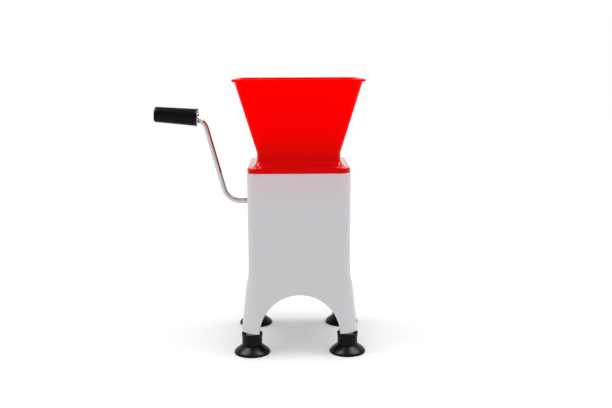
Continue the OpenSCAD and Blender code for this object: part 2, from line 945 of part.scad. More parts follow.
module blade_spacers() {
    color("silver") {
        for (i = [0:blade_n - 2])
            on_shaft(blade_first + i * blade_pitch + blade_t / 2)
                ring(spacer_r, spacer_bore_r, spacer_l);
        difference() {
            for (x = [-hub_half, hub_half - end_spacer_l])
                on_shaft(x)
                    ring(spacer_r, spacer_bore_r, end_spacer_l);
            pin_holes();
        }
    }
}

// ---------- drawing ----------

housing();
hopper();
chamber();
for (foot = FEET)
    foot_at_place(foot);
crank_rod();
grip();
grip_ferrule();
grip_end_cap();
grip_stop_ring();
grip_push_nut();
bush_left();
bush_right();
thrust_washer();
shaft_clip();
rotor_hub();
for (i = [1:blade_n])
    blade(i);
blade_spacers();
drive_pins();
comb(-1);  // comb_front
comb(1);  // comb_rear
comb_screws();
chamber_screws();
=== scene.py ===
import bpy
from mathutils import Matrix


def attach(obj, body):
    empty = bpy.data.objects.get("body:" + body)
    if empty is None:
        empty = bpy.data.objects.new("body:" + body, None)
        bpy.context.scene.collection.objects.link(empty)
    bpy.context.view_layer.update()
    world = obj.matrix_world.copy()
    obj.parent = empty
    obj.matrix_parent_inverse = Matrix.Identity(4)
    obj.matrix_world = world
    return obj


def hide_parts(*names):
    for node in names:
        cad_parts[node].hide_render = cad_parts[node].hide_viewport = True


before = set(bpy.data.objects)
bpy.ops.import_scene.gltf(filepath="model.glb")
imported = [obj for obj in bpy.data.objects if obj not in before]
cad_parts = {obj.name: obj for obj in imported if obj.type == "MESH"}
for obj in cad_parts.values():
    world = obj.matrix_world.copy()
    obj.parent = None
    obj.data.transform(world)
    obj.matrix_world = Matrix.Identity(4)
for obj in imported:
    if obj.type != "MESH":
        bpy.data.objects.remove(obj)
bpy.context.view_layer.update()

import math

import bmesh
import bpy
from mathutils import Matrix, Vector

MM = 0.001
QUARTER_TURN = math.pi / 2

# Housing: a shell with an arch in each side, and the plates, posts and boss inside it.
# Its lower part flares out to the legs: FLARE_STEP is the share of the flare that comes at once at
# the flare's top, and FLARE_EASE the share of its height over which that step is smoothed.
WALL_HALF = 60.0
CORNER_R = 12.0
WALL_T = 2.5
BODY_TOP = 213.2
LEG_Z = 25.5
FLARE_H = 75.5
FLARE_OUT = 8.7
FLARE_STEP = 0.07
FLARE_EASE = 0.3
LEG_W = 21.6
ARCH_Z = 24.1
LEG_PLATE_T = 3.0
POST_W = 11.0
POST_TOP = 169.2
POST_H = 20.0
BOSS_R = 9.0
BOSS_L = 2.5
BOSS_EDGE_R = 0.6
BUSH_HOLE_R = 5.05
BUSH_HOLE_EDGE_R = 0.3
SHELL_EDGE_R = 0.7
BLOCK_EDGE_R = 0.4
CORNER_AT = WALL_HALF - CORNER_R
ARCH_HALF = WALL_HALF + FLARE_OUT - LEG_W
ARCH_R = math.hypot(ARCH_HALF, LEG_Z - ARCH_Z)
FOOT_AT = 56.3

# The shell's mesh fans out from each arch up to CROWN_Z and is a plain grid above it
CROWN_Z = 96.0
FAN_SPOKES = 72
FAN_ROWS = 9
GRID_ROWS = 10
BLOCK_CORNER_STEPS = 8

# Suction feet, and the pegs of the housing that they are pushed on. A foot is a hollow cup with a
# lip, a crease above it and a slightly waisted sleeve. CREASE heights are counted from the cup's top.
FOOT_H = 24.3
SLEEVE_R = 12.4
SLEEVE_WALL = 1.8
SLEEVE_EDGE = 0.5
SLEEVE_EDGE_MID = 0.15
WAIST_IN = 0.6
WAIST_TURN = math.radians(135)
SOCKET_FLOOR = 8.3
SOCKET_STEP = 16.8
PEG_R = 7.0
PEG_GAP = 0.05
PEG_EDGE_R = 0.8
CUP_R = 21.3
CUP_H = 9.8
CUP_SWELL = 1.3
CUP_HOLLOW = 5.2
LIP_T = 2.2
LIP_RING = 1.2
LIP_EDGE_IN = 0.12
LIP_EDGE_LOW = 0.5
LIP_WIDEST_Z = 1.0
CREASE_IN = 0.7
CREASE_LOW = 0.1
CREASE_HIGH = 0.5
CREASE_END = 0.8
HOLLOW_STEPS = 12
CUP_STEPS = 14
SLEEVE_STEPS = 12

# Hopper: a skirt inside the housing, a collar and shoulder on it, a neck, a funnel and a rim. A
# HALF is half a width, a CENTRE is where a corner's arc is centred, and an R rounds the section.
SKIRT_BOTTOM = 188.2
SKIRT_HALF = 57.25
SKIRT_EDGE_R = 0.5
HOPPER_WALL = 2.0
COLLAR_BOTTOM = 213.4
COLLAR_HALF = 59.5
COLLAR_LOW_R = 0.4
COLLAR_TOP_R = 1.4
SHOULDER_Z = 219.5
UNDER_SHOULDER_R = 1.0
NECK_HALF = 48.2
NECK_CENTRE = 42.2
NECK_FILLET_R = 9.5
TAPER_Z = 235.5
TAPER_BEND_R = 14.0
RIM_Z = 317.0
RIM_TOP = 320.0
RIM_UNDER_R = 1.0
RIM_EDGE_R = 0.9
MOUTH_EDGE_R = 0.8
FUNNEL_HALF = 71.55
RIM_HALF = 74.85
CHUTE_Z = 205.0
CHUTE_EDGE_R = 0.6
HOPPER_ROUND_STEPS = 6
HOPPER_CORNER_STEPS = 12

# Crank rod: a shaft, an arm that leans outwards and a spindle for the grip, with two bends
SHAFT_Z = 173.2
SHAFT_END = 54.6
SPINDLE_END = 53.0
ROD_R = 3.2
ROD_CHAMFER = 0.5
ROD_SIDES = 40
BEND_R = 20.0
BEND_STEPS = 20
ARM_X = -86.4
ARM_LEAN = math.radians(15)
ARM_RISE = 100.3
GRIP_TILT = math.radians(4.6)

# Grip, its ferrule and a black tube in the ferrule that paints shade into its mouth. Lengths along
# the grip are counted from its mouth.
GRIP_START = 7.2
GRIP_L = 51.3
GRIP_R_IN = 10.4
GRIP_R_OUT = 9.2
GRIP_END_R = 2.0
MOUTH_LIP_OUT = 0.7
MOUTH_LIP_EDGE_OUT = 0.35
MOUTH_LIP_R = 0.35
MOUTH_R = 0.3
LIP_FOOT_R = 0.4
GROOVE_FROM_END = 4.0
GROOVE_DEPTH = 0.25
GROOVE_R = 0.1
CAP_BORE_R = 6.6
CAP_BORE_DEPTH = 8.6
CAP_BORE_EDGE_R = 0.3
FERRULE_R = 7.1
FERRULE_WALL = 0.8
FERRULE_OUT = 1.3
FERRULE_IN = 5.5
FERRULE_GAP = 0.05
SPINDLE_GAP = 0.08
FERRULE_MOUTH_R = 0.3
FERRULE_EDGE_R = 0.2
# The next three size the black tube in the ferrule's bore, painted shade for the dark inside of its
# mouth
PAINTED_SHADE_TUBE_IN = 1.2
PAINTED_SHADE_TUBE_GAP = 0.02
PAINTED_SHADE_TUBE_SET_BACK = 0.4
MOUTH_LIP_END = 1.5
LIP_FOOT_END = 2.0
RECESS_DEPTH = 9.2

# Sides of the turned pieces
HOUSING_SIDES = 48
FOOT_SIDES = 96
GRIP_SIDES = 72

# Points nearer than the first are joined, edges shorter than the second are dropped, and values
# that differ by less than the third count as equal
DOUBLED_POINT = 0.004
VANISHING_EDGE = 0.002
SAME = 1e-6

# Edges that turn by more than this many degrees stay sharp
SHARP_TURN = 35
SHARP_TURN_ROUNDED = 50

# Linear colours, and the heights between which the shell's painted red light, the glow and the polish
# change
SHELL_WHITE = (0.705, 0.69, 0.72)
# The next colour is painted light: pink for the red skirt's light showing through the shell's top
SHELL_PAINTED_RED_LIGHT = (0.745, 0.635, 0.68)
PAINTED_RED_LIGHT_LOW_Z = SKIRT_BOTTOM - 18.0
HOPPER_COLOUR = (0.88, 0.0003, 0.0008)
HOPPER_GLOSS = (1, 0.1, 0.08)
HOPPER_GLOW = (0.97, 0.0003, 0.0008)
GLOW_TOP_Z = 264.0
POLISH_LOW_Z = SHOULDER_Z + 4.0
POLISH_HIGH_Z = TAPER_Z + 6.0
CHAMBER_COLOUR = (0.62, 0.004, 0.004)
CHAMBER_GLOSS = (1, 0.02, 0.02)
GRIP_COLOUR = (0.002, 0.002, 0.002)
RUBBER_BARE = (0.001, 0.001, 0.001)
RUBBER_DUSTY = (0.004, 0.004, 0.004)
ROD_COLOUR = (0.48, 0.49, 0.48)
FERRULE_COLOUR = (0.5, 0.5, 0.5)
ZINC_COLOUR = (0.66, 0.67, 0.69)
HUB_COLOUR = (0.6, 0.6, 0.61)
BLADE_COLOUR = (0.7, 0.7, 0.71)
NYLON_COLOUR = (0.80, 0.77, 0.68)
FLOOR_COLOUR = (0.9, 0.9, 0.9)
PURE_WHITE = (1, 1, 1)

# The range of roughness as shares of its mean, and the darkest patch as a share of the colour
PLASTIC_GLOSS = (0.85, 1.15)
PLASTIC_DRIFT = 0.97
METAL_GLOSS = (0.7, 1.4)
METAL_SMUDGE = 0.9

# Studio
FLOOR_HALF = 5000.0
AMBIENT = 0.55
OBJECT_MIDDLE = (0, 0, 180)

# Camera, solved for a 612 x 408 picture
IMAGE_W = 612
FOCAL_PX = 817.9
SENSOR_MM = 36.0
CLIP_END_M = 50.0
CAMERA_AT = (-10.55, -984.13, 336.5)
CAMERA_HEADING = math.radians(-1.139)
CAMERA_PITCH = math.radians(9.702)
CAMERA_ROLL = math.radians(-0.232)


# ---------- mesh helpers ----------

def add_piece(name, points, faces, body, material, sharp=SHARP_TURN):
    """A mesh piece from points in millimetres, riding on a body."""
    mesh = bpy.data.meshes.new(name)
    mesh.from_pydata([Vector(p) * MM for p in points], [], faces)
    mesh.validate()
    tidy_mesh(mesh)
    mesh.materials.append(material)
    piece = bpy.data.objects.new(name, mesh)
    bpy.context.scene.collection.objects.link(piece)
    shade_round(mesh, sharp)
    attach(piece, body)
    return piece


def tidy_mesh(mesh):
    """Joins doubled points, drops faces without area and turns the others outwards."""
    bm = bmesh.new()
    bm.from_mesh(mesh)
    bmesh.ops.remove_doubles(bm, verts=bm.verts, dist=DOUBLED_POINT * MM)
    bmesh.ops.dissolve_degenerate(bm, edges=bm.edges, dist=VANISHING_EDGE * MM)
    bmesh.ops.recalc_face_normals(bm, faces=bm.faces)
    bm.to_mesh(mesh)
    bm.free()


def shade_round(mesh, sharp):
    """Smooth shading, but for edges that turn by more than sharp degrees."""
    mesh.polygons.foreach_set("use_smooth", [True] * len(mesh.polygons))
    mesh.set_sharp_from_angle(angle=math.radians(sharp))


def weigh_normals(piece):
    """Keeps flat faces flat beside their rounded edges."""
    modifier = piece.modifiers.new("weighted normals", "WEIGHTED_NORMAL")
    modifier.keep_sharp = True
    modifier.weight = 100


def round_edges(piece, radius, segments):
    """Rounds the sharp edges of a piece and returns the modifier that does it."""
    modifier = piece.modifiers.new("rounded edges", "BEVEL")
    modifier.width = radius * MM
    modifier.segments = segments
    modifier.limit_method = "ANGLE"
    return modifier


def soften(corners, closed, steps):
    """Rounds a line of corners. A corner is (a, b, extra, radius); extra is carried along."""
    line = []
    count = len(corners)
    for i, (a, b, extra, radius) in enumerate(corners):
        at_end = not closed and i in (0, count - 1)
        if radius == 0 or at_end:
            line.append((a, b, extra))
            continue
        here = Vector((a, b, extra))
        before = Vector(corners[i - 1][:3])
        after = Vector(corners[(i + 1) % count][:3])
        into = Vector((here.x - before.x, here.y - before.y))
        out = Vector((after.x - here.x, after.y - here.y))
        turn = into.angle_signed(out)
        reach = radius * math.tan(abs(turn) / 2)
        start = here.lerp(before, reach / into.length)
        end = here.lerp(after, reach / out.length)
        side = -1 if turn > 0 else 1
        normal = Vector((-into.y, into.x)).normalized() * side
        centre = Vector((start.x, start.y)) + normal * radius
        spoke = Vector((start.x, start.y)) - centre
        for step in range(steps + 1):
            t = step / steps
            point = centre + Matrix.Rotation(-turn * t, 2) @ spoke
            line.append((point.x, point.y, start.z + (end.z - start.z) * t))
    return line


def soften_section(corners, closed, steps):
    """soften for a section of (a, b, radius) corners that carry nothing along."""
    softened = soften([(a, b, 0, radius) for a, b, radius in corners], closed, steps)
    return [(a, b) for a, b, _ in softened]


def square_ring(half, centre, z, steps):
    """A rounded square whose corners are centred at plus and minus centre."""
    radius = half - centre
    ring = []
    for corner, (sx, sy) in enumerate(((1, 1), (-1, 1), (-1, -1), (1, -1))):
        for step in range(steps + 1):
            angle = QUARTER_TURN * (corner + step / steps)
            x = sx * centre + radius * math.cos(angle)
            y = sy * centre + radius * math.sin(angle)
            ring.append((x, y, z))
    return ring


def loft(rings, closed):
    """Points and quads of a skin through rings that have equally many points."""
    size = len(rings[0])
    points = [p for ring in rings for p in ring]
    faces = []
    for i in range(len(rings) if closed else len(rings) - 1):
        low = i * size
        high = (i + 1) % len(rings) * size
        for j in range(size):
            k = (j + 1) % size
            faces.append((low + j, low + k, high + k, high + j))
    return points, faces


def lathe(line, sides, place):
    """Points and faces of a line of (radius, z) turned round Z, then placed."""
    rings = []
    for radius, z in line:
        ring = []
        for i in range(sides):
            angle = math.tau * i / sides
            point = place @ Vector((radius * math.cos(angle), radius * math.sin(angle), z))
            ring.append(tuple(point))
        rings.append(ring)
    return loft(rings, closed=False)


def closed_lathe(corners, sides, place):
    """A ring-shaped body from (radius, z, rounding) corners that run round its section."""
    line = soften_section(corners, closed=True, steps=4)
    return lathe(line + line[:1], sides, place)


# ---------- material helpers ----------

def new_material(name):
    """A node material, with its nodes, its links and its main shader."""
    material = bpy.data.materials.new(name)
    material.use_nodes = True
    nodes = material.node_tree.nodes
    return material, nodes, material.node_tree.links, nodes["Principled BSDF"]


def feed(links, socket, value):
    """Gives an input socket a number or a colour, or links another node's output to it."""
    if isinstance(value, bpy.types.NodeSocket):
        links.new(value, socket)
    elif isinstance(value, tuple):
        socket.default_value = (*value, 1)
    else:
        socket.default_value = value


def calculate(nodes, links, operation, a, b, clamp=False):
    """The result of a Math node on a and b, each a number or a node's output."""
    node = nodes.new("ShaderNodeMath")
    node.operation = operation
    node.use_clamp = clamp
    feed(links, node.inputs[0], a)
    feed(links, node.inputs[1], b)
    return node.outputs["Value"]


def remap(nodes, links, source, at_low, at_high, low=0.0, high=1.0, kind="LINEAR"):
    """A value that goes from at_low to at_high while source goes from low to high."""
    node = nodes.new("ShaderNodeMapRange")
    node.interpolation_type = kind
    node.inputs["From Min"].default_value = low
    node.inputs["From Max"].default_value = high
    node.inputs["To Min"].default_value = at_low
    node.inputs["To Max"].default_value = at_high
    links.new(source, node.inputs["Value"])
    return node.outputs["Result"]


def mix_colours(nodes, links, share, first, second):
    """first where share is 0 and second where it is 1, each a colour or a node's output."""
    node = nodes.new("ShaderNodeMixRGB")
    links.new(share, node.inputs["Fac"])
    feed(links, node.inputs["Color1"], first)
    feed(links, node.inputs["Color2"], second)
    return node.outputs["Color"]


def mix_shaders(nodes, links, share, first, second):
    """first where share is 0 and second where it is 1."""
    node = nodes.new("ShaderNodeMixShader")
    links.new(share, node.inputs["Fac"])
    links.new(first, node.inputs[1])
    links.new(second, node.inputs[2])
    return node.outputs["Shader"]


def add_noise(nodes, links, scale, detail, stretch=(1, 1, 1)):
    """Noise in the piece's own coordinates, with its scale given per metre."""
    coordinates = nodes.new("ShaderNodeTexCoord")
    mapping = nodes.new("ShaderNodeMapping")
    mapping.inputs["Scale"].default_value = stretch
    noise = nodes.new("ShaderNodeTexNoise")
    noise.inputs["Scale"].default_value = scale
    noise.inputs["Detail"].default_value = detail
    links.new(coordinates.outputs["Object"], mapping.inputs["Vector"])
    links.new(mapping.outputs["Vector"], noise.inputs["Vector"])
    return noise.outputs["Fac"]


def add_bump(nodes, links, shader, height, depth):
    """Surface relief from a height between 0 and 1, its depth in millimetres."""
    bump = nodes.new("ShaderNodeBump")
    bump.inputs["Distance"].default_value = depth * MM
    links.new(height, bump.inputs["Height"])
    links.new(bump.outputs["Normal"], shader.inputs["Normal"])


def by_height(nodes, links, low, high, at_low, at_high):
    """A value that eases from at_low to at_high between two heights in millimetres."""
    coordinates = nodes.new("ShaderNodeTexCoord")
    split = nodes.new("ShaderNodeSeparateXYZ")
    links.new(coordinates.outputs["Object"], split.inputs["Vector"])
    z = split.outputs["Z"]
    return remap(nodes, links, z, at_low, at_high, low * MM, high * MM, "SMOOTHSTEP")


def by_distance(nodes, links, near, far, at_near, at_far):
    """A value that eases from at_near to at_far between two distances in millimetres.

    The distances are from the origin, which is on the floor at the object's middle.
    """
    coordinates = nodes.new("ShaderNodeTexCoord")
    length = nodes.new("ShaderNodeVectorMath")
    length.operation = "LENGTH"
    links.new(coordinates.outputs["Object"], length.inputs[0])
    distance = length.outputs["Value"]
    return remap(nodes, links, distance, at_near, at_far, near * MM, far * MM, "SMOOTHSTEP")


def seen_directly(nodes, links):
    """1 for camera, glossy and transmission rays, and 0 for the light on the object."""
    rays = nodes.new("ShaderNodeLightPath").outputs
    total = calculate(nodes, links, "ADD", rays["Is Camera Ray"], rays["Is Glossy Ray"], clamp=True)
    return calculate(nodes, links, "ADD", total, rays["Is Transmission Ray"], clamp=True)


# ---------- materials ----------

def plastic(name, colour, roughness, relief=0.02, specular=0.5, gloss_tint=PURE_WHITE):
    """Moulded plastic: faint orange peel, uneven gloss and a colour that drifts a little."""
    material, nodes, links, shader = new_material(name)
    shader.inputs["Specular IOR Level"].default_value = specular
    feed(links, shader.inputs["Specular Tint"], gloss_tint)
    peel = add_noise(nodes, links, scale=900, detail=3)
    add_bump(nodes, links, shader, peel, relief)
    patches = add_noise(nodes, links, scale=35, detail=4)
    smoothest, roughest = PLASTIC_GLOSS
    gloss = remap(nodes, links, patches, roughness * smoothest, roughness * roughest)
    links.new(gloss, shader.inputs["Roughness"])
    darker = tuple(c * PLASTIC_DRIFT for c in colour)
    drift = mix_colours(nodes, links, patches, darker, colour)
    links.new(drift, shader.inputs["Base Color"])
    return material


def metal(name, colour, roughness, stretch=(1, 1, 1)):
    """Metal with a fine grain. A stretch above 1 on an axis makes it lines across that axis."""
    material, nodes, links, shader = new_material(name)
    shader.inputs["Metallic"].default_value = 1.0
    grain = add_noise(nodes, links, scale=400, detail=5, stretch=stretch)
    add_bump(nodes, links, shader, grain, depth=0.004)
    smoothest, roughest = METAL_GLOSS
    gloss = remap(nodes, links, grain, roughness * smoothest, roughness * roughest)
    links.new(gloss, shader.inputs["Roughness"])
    smudges = add_noise(nodes, links, scale=60, detail=3)
    darker = tuple(c * METAL_SMUDGE for c in colour)
    tint = mix_colours(nodes, links, smudges, darker, colour)
    links.new(tint, shader.inputs["Base Color"])
    return material


def rubber(name):
    """Moulded rubber: fine matt grain with a soft sheen and a trace of dust."""
    material, nodes, links, shader = new_material(name)
    shader.inputs["Specular IOR Level"].default_value = 0.1
    grain = add_noise(nodes, links, scale=2600, detail=4)
    add_bump(nodes, links, shader, grain, depth=0.03)
    dust = add_noise(nodes, links, scale=90, detail=5)
    gloss = remap(nodes, links, dust, at_low=0.24, at_high=0.34)
    links.new(gloss, shader.inputs["Roughness"])
    tone = mix_colours(nodes, links, dust, RUBBER_BARE, RUBBER_DUSTY)
    links.new(tone, shader.inputs["Base Color"])
    return material


def shell_plastic():
    """White plastic with painted light near its top edge: a pink tint that stands in for the red
    skirt inside shining through.
    """
    material = plastic("white shell", SHELL_WHITE, roughness=0.3, specular=0.35)
    nodes, links = material.node_tree.nodes, material.node_tree.links
    base = nodes["Principled BSDF"].inputs["Base Color"]
    white = base.links[0].from_socket
    # Painted light: the colour turns pink towards the top edge, standing in for red light from the
    # skirt inside
    share = by_height(nodes, links, PAINTED_RED_LIGHT_LOW_Z, BODY_TOP, at_low=0, at_high=1)
    painted_red_light = mix_colours(nodes, links, share, white, SHELL_PAINTED_RED_LIGHT)
    links.new(painted_red_light, base)
    return material


def hopper_plastic():
    """Thin red plastic, glossiest at the shoulder. Light from inside glows through its funnel."""
    material = plastic("hopper red", HOPPER_COLOUR, roughness=0.2, gloss_tint=HOPPER_GLOSS)
    nodes, links = material.node_tree.nodes, material.node_tree.links
    solid = nodes["Principled BSDF"].outputs["BSDF"]
    glow = nodes.new("ShaderNodeBsdfTranslucent")
    feed(links, glow.inputs["Color"], HOPPER_GLOW)
    thinness = by_height(nodes, links, SHOULDER_Z, GLOW_TOP_Z, at_low=0.15, at_high=0.9)
    thin = mix_shaders(nodes, links, thinness, solid, glow.outputs["BSDF"])
    polish = nodes.new("ShaderNodeBsdfGlossy")
    polish.inputs["Roughness"].default_value = 0.1
    facing = nodes.new("ShaderNodeLayerWeight").outputs["Facing"]
    edge_falloff = 5
    edge = calculate(nodes, links, "POWER", facing, edge_falloff)
    strength = by_height(nodes, links, POLISH_LOW_Z, POLISH_HIGH_Z, at_low=0.8, at_high=0.25)
    finish = calculate(nodes, links, "MULTIPLY", edge, strength, clamp=True)
    surface = mix_shaders(nodes, links, finish, thin, polish.outputs["BSDF"])
    links.new(surface, nodes["Material Output"].inputs["Surface"])
    return material


WHITE = shell_plastic()
HOPPER_RED = hopper_plastic()
CHAMBER_RED = plastic("chamber red", CHAMBER_COLOUR, roughness=0.35, gloss_tint=CHAMBER_GLOSS)
BLACK_GRIP = plastic("grip black", GRIP_COLOUR, roughness=0.2, relief=0.03, specular=0.08)
RUBBER = rubber("foot rubber")
CHROME = metal("plated rod", ROD_COLOUR, roughness=0.12)
BRIGHT = metal("ferrule", FERRULE_COLOUR, roughness=0.3)
ZINC = metal("zinc fasteners", ZINC_COLOUR, roughness=0.34)
HUB_STEEL = metal("turned hub", HUB_COLOUR, roughness=0.3, stretch=(14, 1, 1))
BLADE_STEEL = metal("stamped blades", BLADE_COLOUR, roughness=0.32, stretch=(1, 1, 9))
NYLON = plastic("nylon", NYLON_COLOUR, roughness=0.45)


# ---------- housing ----------

def spread(z):
    """How far the flare stands out past the straight wall at height z."""
    t = max(0.0, min(1.0, (LEG_Z + FLARE_H - z) / FLARE_H))
    rise = min(1.0, t / FLARE_EASE)
    eased = rise * rise * (3 - 2 * rise)
    return FLARE_OUT * (FLARE_STEP + (1 - FLARE_STEP) * t) * eased


def on_shell(along, z):
    """A point of the front wall's outside; past its flat part it runs round the corner."""
    out = spread(z)
    if abs(along) <= CORNER_AT:
        return (along, -WALL_HALF - out, z)
    angle = (abs(along) - CORNER_AT) / CORNER_R
    reach = CORNER_R + out
    x = math.copysign(CORNER_AT + reach * math.sin(angle), along)
    return (x, -CORNER_AT - reach * math.cos(angle), z)


def between(start, end, steps):
    """Evenly spaced values from start up to, but not including, end."""
    return [start + (end - start) * i / steps for i in range(steps)]


def shell_side(turn):
    """One quarter of the housing's outside skin, from mid-corner to mid-corner."""
    edge = CORNER_AT + CORNER_R * math.pi / 4
    fan_h = CROWN_Z - ARCH_Z
    corner_angle = math.atan2(fan_h, edge)
    start_angle = math.atan2(LEG_Z - ARCH_Z, ARCH_HALF)
    side_spokes = round(FAN_SPOKES * corner_angle / math.pi)
    angles = between(start_angle, corner_angle, side_spokes)
    angles += between(corner_angle, QUARTER_TURN, FAN_SPOKES // 2 - side_spokes)
    angles += [QUARTER_TURN] + [math.pi - a for a in reversed(angles)]
    grid = []
    for i, angle in enumerate(angles):
        c = math.cos(angle)
        s = math.sin(angle)
        inner = (ARCH_R * c, ARCH_Z + ARCH_R * s)
        if i in (0, len(angles) - 1):
            outer = (math.copysign(edge, c), LEG_Z)
        elif abs(c) * fan_h > s * edge:
            outer = (math.copysign(edge, c), ARCH_Z + edge * s / abs(c))
        else:
            outer = (fan_h * c / s, CROWN_Z)
        column = []
        for j in range(FAN_ROWS + 1):
            t = j / FAN_ROWS
            along = inner[0] + (outer[0] - inner[0]) * t
            z = inner[1] + (outer[1] - inner[1]) * t
            column.append((along, z))
        grid.append(column)
    top = [column[-1][0] for column in grid if abs(column[-1][1] - CROWN_Z) < SAME]
    levels = between(CROWN_Z, BODY_TOP, GRID_ROWS) + [BODY_TOP]
    upper_grid = [[(along, z) for z in levels] for along in top]
    points, faces = [], []
    for columns in (grid, upper_grid):
        add_patch(points, faces, columns)
    spin = Matrix.Rotation(turn, 3, "Z")
    return [tuple(spin @ Vector(p)) for p in points], faces


def add_patch(points, faces, columns):
    """Adds a grid of (along, z) columns on the front wall to the points and faces."""
    base = len(points)
    size = len(columns[0])
    points += [on_shell(along, z) for column in columns for along, z in column]
    for i in range(len(columns) - 1):
        for j in range(size - 1):
            low = base + i * size + j
            faces.append((low, low + 1, low + size + 1, low + size))


def make_housing():
    """The shell: four alike sides, thickened inwards, with its edges rounded."""
    points, faces = [], []
    for side in range(4):
        side_points, side_faces = shell_side(side * QUARTER_TURN)
        faces += [tuple(i + len(points) for i in face) for face in side_faces]
        points += side_points
    shell = add_piece("housing_shell", points, faces, "housing", WHITE,
                      SHARP_TURN_ROUNDED)
    thick = shell.modifiers.new("wall", "SOLIDIFY")
    thick.thickness = WALL_T * MM
    thick.offset = -1
    thick.use_even_offset = True
    rounded = round_edges(shell, SHELL_EDGE_R, segments=3)
    rounded.angle_limit = math.radians(SHARP_TURN_ROUNDED)
    weigh_normals(shell)
    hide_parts("housing")


def quarter_outline(inner, reach):
    """A leg end or post as seen from above: a square with one corner on the housing's corner."""
    outline = [(inner, inner), (CORNER_AT + reach, inner)]
    for step in range(BLOCK_CORNER_STEPS + 1):
        angle = QUARTER_TURN * step / BLOCK_CORNER_STEPS
        outline.append((CORNER_AT + reach * math.cos(angle), CORNER_AT + reach * math.sin(angle)))
    outline.append((inner, CORNER_AT + reach))
    return outline


def make_quarter_blocks(name, inner, reach, low, high):
    """Four alike blocks, one in each corner of the housing."""
    outline = quarter_outline(inner, reach)
    points, faces = [], []
    size = len(outline)
    for corner in range(4):
        spin = Matrix.Rotation(corner * QUARTER_TURN, 3, "Z")
        base = len(points)
        for z in (low, high):
            points += [tuple(spin @ Vector((x, y, z))) for x, y in outline]
        faces.append(tuple(base + i for i in reversed(range(size))))
        faces.append(tuple(base + size + i for i in range(size)))
        for i in range(size):
            k = (i + 1) % size
            faces.append((base + i, base + k, base + size + k, base + size + i))
    blocks = add_piece(name, points, faces, "housing", WHITE)
    round_edges(blocks, BLOCK_EDGE_R, segments=2)


def make_leg_ends_and_posts():
    """The plates that close the legs' ends, and the posts that hold the chamber."""
    plate_reach = CORNER_R - WALL_T + FLARE_OUT
    plate_top = LEG_Z + LEG_PLATE_T
    make_quarter_blocks("leg_end_plates", ARCH_HALF, plate_reach, LEG_Z, plate_top)
    post_inner = WALL_HALF - WALL_T - POST_W
    post_reach = CORNER_R - WALL_T
    make_quarter_blocks("corner_posts", post_inner, post_reach, POST_TOP - POST_H, POST_TOP)


def make_leg_pegs():
    """The pegs under the legs. Each goes halfway into its leg's end plate."""
    top = LEG_Z + LEG_PLATE_T / 2
    corners = [
        (0, SOCKET_FLOOR, 0),
        (PEG_R, SOCKET_FLOOR, PEG_EDGE_R),
        (PEG_R, top, 0),
        (0, top, 0),
    ]
    line = soften_section(corners, closed=False, steps=5)
    for name, x, y in foot_places():
        points, faces = lathe(line, HOUSING_SIDES, Matrix.Translation((x, y, 0)))
        add_piece("peg_" + name, points, faces, "housing", WHITE)


def make_bush_boss():
    """The ring inside the left wall that the left bush goes through."""
    in_wall = Matrix.Translation((-WALL_HALF + WALL_T / 2, 0, SHAFT_Z))
    place = in_wall @ Matrix.Rotation(QUARTER_TURN, 4, "Y")
    length = WALL_T / 2 + BOSS_L
    corners = [
        (BUSH_HOLE_R, 0, 0),
        (BOSS_R, 0, 0),
        (BOSS_R, length, BOSS_EDGE_R),
        (BUSH_HOLE_R, length, BUSH_HOLE_EDGE_R),
    ]
    points, faces = closed_lathe(corners, HOUSING_SIDES, place)
    add_piece("bush_boss", points, faces, "housing", WHITE)


# ---------- feet ----------

def foot_places():
    """The name and centre of each foot, seen from the camera's side."""
    corners = (
        ("front_left", -1, -1),
        ("front_right", 1, -1),
        ("rear_left", -1, 1),
        ("rear_right", 1, 1),
    )
    return [(name, sx * FOOT_AT, sy * FOOT_AT) for name, sx, sy in corners]


def foot_line():
    """Section of a suction foot, from the top of its hollow round to the socket's floor."""
    touch_r = CUP_R - LIP_T / 2
    hollow_r = touch_r - LIP_RING
    line = []
    for i in range(HOLLOW_STEPS):
        angle = QUARTER_TURN * i / HOLLOW_STEPS
        line.append((hollow_r * math.sin(angle), CUP_HOLLOW * math.cos(angle)))
    line += [(hollow_r, 0), (touch_r, 0)]

    edge_r = CUP_R - LIP_EDGE_IN
    line += [(edge_r, LIP_EDGE_LOW), (CUP_R, LIP_WIDEST_Z), (edge_r, LIP_T)]
    waist_r = SLEEVE_R - WAIST_IN * math.sin(WAIST_TURN)
    for i in range(1, CUP_STEPS + 1):
        t = 1 - i / CUP_STEPS
        reach = 1 - (1 - t) ** CUP_SWELL
        line.append((waist_r + (edge_r - waist_r) * reach, CUP_H + (LIP_T - CUP_H) * t))

    crease_r = waist_r - CREASE_IN
    sleeve_low = CUP_H + CREASE_END
    line += [(crease_r, CUP_H + CREASE_LOW), (crease_r, CUP_H + CREASE_HIGH), (waist_r, sleeve_low)]
    sleeve_high = FOOT_H - SLEEVE_EDGE
    for i in range(1, SLEEVE_STEPS + 1):
        t = i / SLEEVE_STEPS
        radius = SLEEVE_R - WAIST_IN * math.sin(WAIST_TURN * (1 - t))
        line.append((radius, sleeve_low + (sleeve_high - sleeve_low) * t))

    inner_r = SLEEVE_R - SLEEVE_WALL
    line += [
        (SLEEVE_R - SLEEVE_EDGE_MID, FOOT_H - SLEEVE_EDGE_MID),
        (SLEEVE_R - SLEEVE_EDGE, FOOT_H),
        (inner_r + SLEEVE_EDGE, FOOT_H),
        (inner_r + SLEEVE_EDGE_MID, FOOT_H - SLEEVE_EDGE_MID),
        (inner_r, sleeve_high),
        (inner_r, SOCKET_STEP),
        (PEG_R + PEG_GAP, SOCKET_STEP),
        (PEG_R + PEG_GAP, SOCKET_FLOOR),
        (0, SOCKET_FLOOR),
    ]
    return line


def make_feet():
    for name, x, y in foot_places():
        points, faces = lathe(foot_line(), FOOT_SIDES, Matrix.Translation((x, y, 0)))
        foot = add_piece("suction_" + name, points, faces, "housing", RUBBER,
                         SHARP_TURN_ROUNDED)
        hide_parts("foot_" + name)


# ---------- hopper ----------

